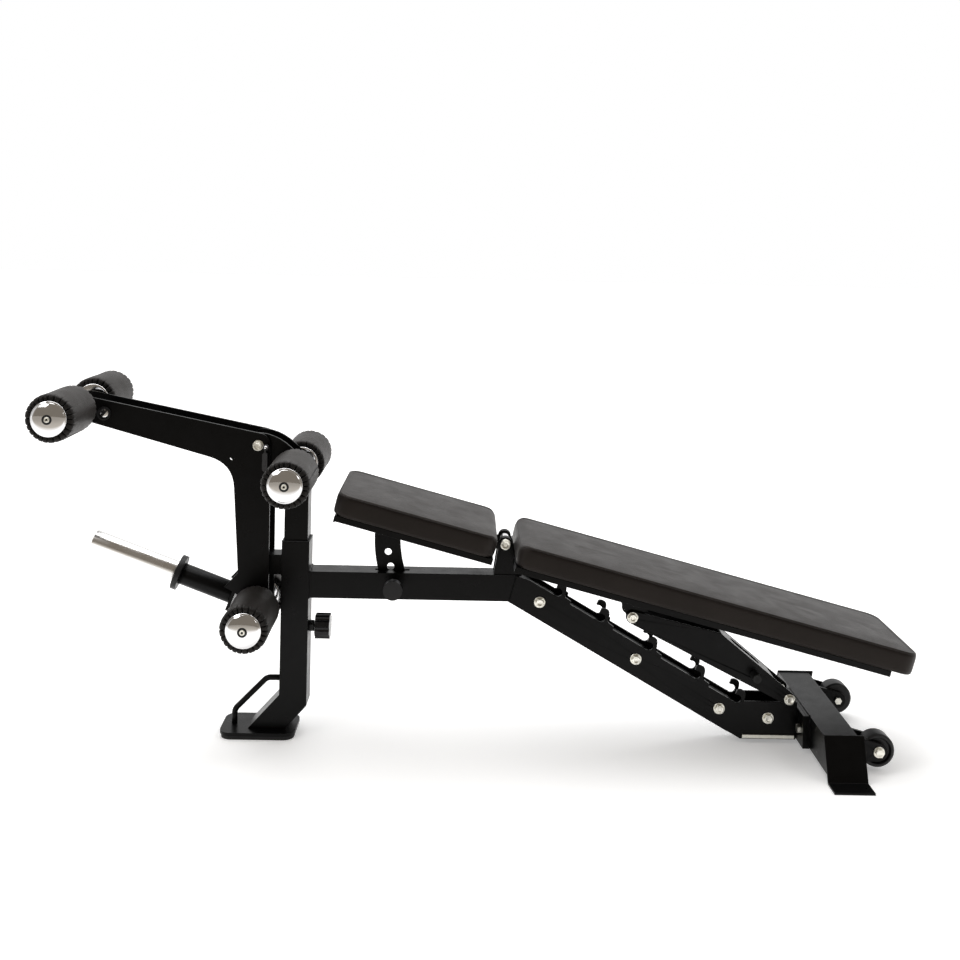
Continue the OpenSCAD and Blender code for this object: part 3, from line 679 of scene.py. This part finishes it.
def hex_cap(name, body, centre, face, side, flat, mats):
    """Chamfered crown on a hexagon head, with a shallow dish in the middle."""
    profile = [(0.0001, face + 0.0007), (flat * 0.55, face + 0.0007), (flat * 0.66, face + 0.0013),
               (flat * 0.86, face + 0.0013), (flat * 0.97, face + 0.0005), (flat * 0.985, face - 0.0003)]
    add_piece(name, lathe_y(name, profile, centre, side, 48), mats["zinc"], body)


def bead(name, body, corners, radius, mats, closed=False):
    """Weld bead along a path: overlapping ripples about two radii apart."""
    path = [Vector(p) for p in corners]
    if closed:
        path.append(path[0])
    points = []
    for a, b in zip(path, path[1:]):
        count = max(2, int((b - a).length / (radius * 0.45)))
        points += [a.lerp(b, i / count) for i in range(count)]
    if not closed:
        points.append(path[-1])
    rings = []
    total = len(points)
    for i, p in enumerate(points):
        ahead = points[(i + 1) % total] if closed else points[min(i + 1, total - 1)]
        behind = points[i - 1] if closed else points[max(i - 1, 0)]
        along = (ahead - behind).normalized()
        across = along.orthogonal().normalized()
        up = along.cross(across)
        swell = radius * (0.86 + 0.14 * abs(math.sin(i * 0.9)) + 0.06 * math.sin(i * 0.23))
        if not closed:
            swell *= min(1.0, 0.35 + min(i, total - 1 - i) * 0.35)
        rings.append([tuple(p + across * swell * math.cos(a) + up * swell * math.sin(a))
                      for a in (2 * math.pi * k / 8 for k in range(8))])
    if closed:
        mesh = grid_mesh(name, rings + [rings[0]], closed_ends=False)
    else:
        mesh = grid_mesh(name, rings)
    add_piece(name, mesh, mats["black_steel"], body)


def loop_x(x, y, z0, z1):
    """Corners of an upright rectangle square to X."""
    return [(x, -y, z0), (x, y, z0), (x, y, z1), (x, -y, z1)]


# Places along X and Z, on lines square to the bench's sides
LADDER_BOLTS = ((0.1435, 0.332), (0.375, 0.2005), (0.576, 0.086), (0.693, 0.065))
LEVER_PIVOT = (-0.528, 0.693)
STRUT_FOOT = (0.742, 0.113)
WHEEL_AXIS = (0.9095, 0.049)
LOCK_PIN = (-0.508, 0.691)
CROSS_SOCKET = (-0.891, 0.761)
SIDES = (("near", -1), ("far", 1))
HEAD = 0.007          # height of a bolt's head


def fastenings(mats):
    """Washers, crowned hexagon heads and socket screws on both sides of the bench."""
    pad_at = (pivot.x, pivot.z)
    hinge = joints["strut_swing"]["pos_m"]
    strut_at = (hinge[0], hinge[2])
    for s, side in SIDES:
        for n, at in enumerate(LADDER_BOLTS):
            washer(f"ladder_washer_{s}_{n}", "frame", at, 0.036, side, 0.0095, 0.0135, mats)
            hex_cap(f"ladder_crown_{s}_{n}", "frame", at, 0.036 + HEAD, side, 0.00995, mats)
        socket_head(f"pivot_screw_{s}", "frame", pad_at, 0.044 + HEAD, side, 0.0119, 0.0022, mats)
        socket_head(f"lever_screw_{s}", "upright", LEVER_PIVOT, 0.054, side, 0.0107, 0.0018, mats)
        socket_head(f"strut_screw_{s}", "back", strut_at, 0.0505, side, 0.0092, 0.0016, mats)
        washer(f"strut_washer_{s}", "back", strut_at, 0.0437, side, 0.0098, 0.0132, mats)
        hex_cap(f"strut_foot_crown_{s}", "strut", STRUT_FOOT, 0.0505, side, 0.00995, mats)
        washer(f"strut_foot_washer_{s}", "strut", STRUT_FOOT, 0.0435, side, 0.0098, 0.0132, mats)
        hex_cap(f"wheel_crown_{s}", "frame", WHEEL_AXIS, 0.185, side, 0.0095, mats)
        washer(f"wheel_washer_{s}", "frame", WHEEL_AXIS, 0.178, side, 0.0095, 0.0128, mats)


def welds(mats):
    """Weld beads where the tubes, plates and brackets meet."""
    mitre = [(0.0710, -0.0301, 0.3299), (0.0877, -0.0301, 0.3931), (0.0877, 0.0301, 0.3931),
             (0.0710, 0.0301, 0.3299)]
    crossbar = [(0.7782, -0.086, 0.0172), (0.7782, -0.086, 0.0918), (0.7782, 0.086, 0.0918),
                (0.7782, 0.086, 0.0172)]
    bead("weld_beam_post", "frame", loop_x(-0.4048, 0.0302, 0.3298, 0.3932), 0.0028, mats, True)
    bead("weld_mitre", "frame", mitre, 0.0018, mats, True)
    bead("weld_stub", "frame", loop_x(-0.4702, 0.0251, 0.3829, 0.4301), 0.0025, mats, True)
    bead("weld_crossbar", "frame", crossbar, 0.0024, mats, True)
    for s, side in SIDES:
        bead(f"weld_bracket_{s}", "frame", [(0.034, side * 0.0296, 0.3934), (0.100, side * 0.0296, 0.3934)],
             0.0024, mats)
        bead(f"weld_wheel_{s}", "frame", [(0.8552, side * 0.1215, 0.026), (0.8552, side * 0.1215, 0.082)],
             0.0024, mats)
        bead(f"weld_head_{s}", "upright", [(-0.4652, side * 0.0286, 0.596), (-0.4652, side * 0.0286, 0.660)],
             0.0022, mats)
        spine = [back_local @ Vector((x, side * 0.0366, -0.034)) for x in (0.31, 0.536)]
        bead(f"weld_spine_{s}", "back", spine, 0.0024, mats)


def bar_end(mats):
    """Chrome plug in each mouth of the lever's cross socket, with a black bar across it."""
    at = CROSS_SOCKET
    lean = 0.9            # radians that the bar is turned from level
    profile = [(0.0001, 0.0452), (0.006, 0.0451), (0.0100, 0.0444), (0.0114, 0.0432), (0.0116, 0.0405),
               (0.0001, 0.0405)]
    section = ((-1, -0.003), (-1, 0.0004), (-0.6, 0.0009), (0.6, 0.0009), (1, 0.0004), (1, -0.003))
    for s, side in SIDES:
        add_piece(f"socket_plug_{s}", lathe_y(f"socket_plug_{s}", profile, at, side, 48), mats["chrome"],
                  "lever")
        rings = []
        for i in range(9):
            t = -1 + 2 * i / 8
            half = 0.0022 * (1 - 0.5 * abs(t) ** 6)
            cx, cz = at[0] + 0.0118 * t * math.cos(lean), at[1] + 0.0118 * t * math.sin(lean)
            across = (-half * math.sin(lean), half * math.cos(lean))
            rings.append([(cx + across[0] * a, side * (0.0457 + b), cz + across[1] * a)
                          for a, b in section])
        add_piece(f"socket_bar_{s}", grid_mesh(f"socket_bar_{s}", rings), mats["plastic"], "lever")


def knob_stud(mats):
    """Rolled thread of the star knob's stud, where it shows between the nut and the knob."""
    rings = []
    turns, per_turn, pitch = 6, 20, 0.0012
    first_x, axis_z = -0.3935, 0.2545
    root, depth = 0.0050, 0.0005
    for i in range(turns * per_turn + 1):
        x = first_x + pitch * i / per_turn
        ring = []
        for k in range(per_turn):
            a = 2 * math.pi * k / per_turn
            r = root + depth * math.cos(a - 2 * math.pi * i / per_turn)
            ring.append((x, r * math.cos(a), axis_z + r * math.sin(a)))
        rings.append(ring)
    add_piece("knob_thread", grid_mesh("knob_thread", rings), mats["zinc"], "star_knob")


def beam_strips(mats):
    """Pale strip, finished like the zinc, along the bottom of the rear beam, below each ladder plate."""
    first_x, last_x, steps = 0.634, 0.758, 24
    for s, side in SIDES:
        rings = []
        for i in range(steps + 1):
            x = first_x + (last_x - first_x) * i / steps
            out = 0.0303 + 0.0002 * math.sin(i * 1.3)
            rings.append([(x, side * 0.0299, 0.0135), (x, side * out, 0.0142), (x, side * out, 0.0212),
                          (x, side * 0.0299, 0.0220)])
        add_piece(f"beam_strip_{s}", grid_mesh(f"beam_strip_{s}", rings), mats["zinc"], "frame",
                  smooth=False)


def lock_pin_head(mats):
    """Small bright ball on the head of the lock pin."""
    profile = arc((0.0001, 0.0585), 0.0042, 90, -60, 12)
    profile = [(max(r, 0.0001), run) for r, run in profile]
    add_piece("lock_ball", lathe_y("lock_ball", profile, LOCK_PIN, -1, 32), mats["chrome"], "lever")


# ---------- Build ----------

place_camera()
light_studio()
lay_floor()
mats = make_materials()
dress_nodes(mats)

for spot in ("top", "mid", "low"):
    for where in ("near", "far"):
        roller(f"roller_{spot}_{where}", where == "near", mats)

pivot = Vector(joints["back_tilt"]["pos_m"])
seat_local = pad_frame(pivot, SEAT_TILT)
back_local = pad_frame(pivot, BACK_TILT)
seat_cushion = pad("seat_cushion", "seat", seat_local, -0.410, -0.025, HALF_WIDTH, -0.018, 0.034, mats)
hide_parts("seat_pad")
back_cushion = pad("back_cushion", "back", back_local, 0.025, 0.977, HALF_WIDTH, -0.020, 0.034, mats)
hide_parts("back_pad")

fastenings(mats)
welds(mats)
bar_end(mats)
lock_pin_head(mats)
knob_stud(mats)
beam_strips(mats)
